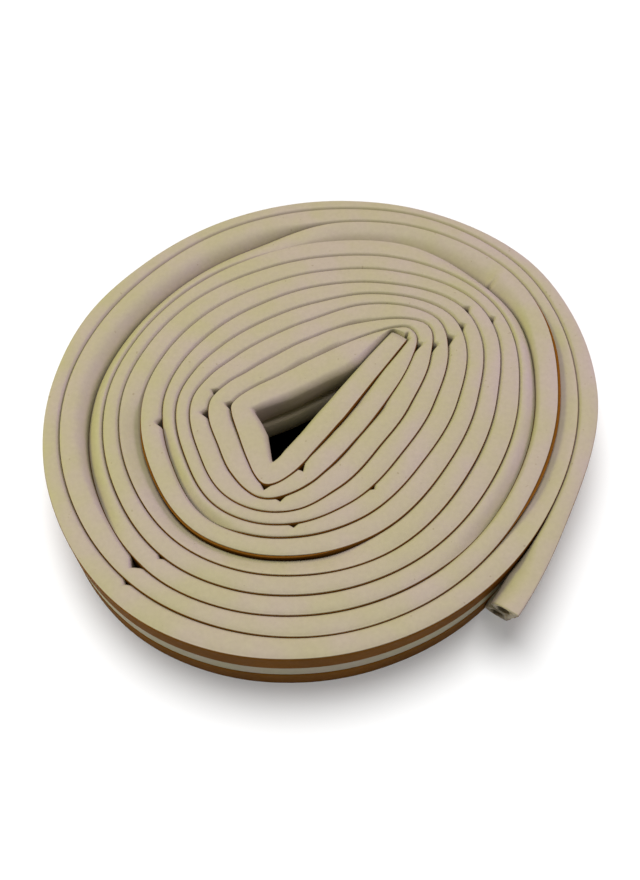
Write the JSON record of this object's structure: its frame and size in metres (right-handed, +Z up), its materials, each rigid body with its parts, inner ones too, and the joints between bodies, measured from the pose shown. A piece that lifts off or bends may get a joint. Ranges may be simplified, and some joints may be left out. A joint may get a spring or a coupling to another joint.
{
  "type": "coiled rubber weatherstrip tape",
  "caption": "Self-adhesive twin D-profile rubber weatherstrip with brown backing liners, wound on edge into an uneven oval coil lying flat, free end standing off",
  "frame": {"origin": "on the floor, under the middle of the coil's bounding box", "axes": "+Z up, along the width of the strip; -Y towards the viewer of the picture; +X to the right, the side of the free end"},
  "size_m": [0.144, 0.139, 0.0192],
  "materials": {
    "cream_rubber": "matte cellular rubber with a smooth skin, cream to khaki",
    "brown_liner": "smooth brown release liner, slightly glossy"
  },
  "bodies": {
    "root": {"seal_strip": "cream_rubber", "upper_liner": "brown_liner", "lower_liner": "brown_liner"}
  },
  "joints": []
}
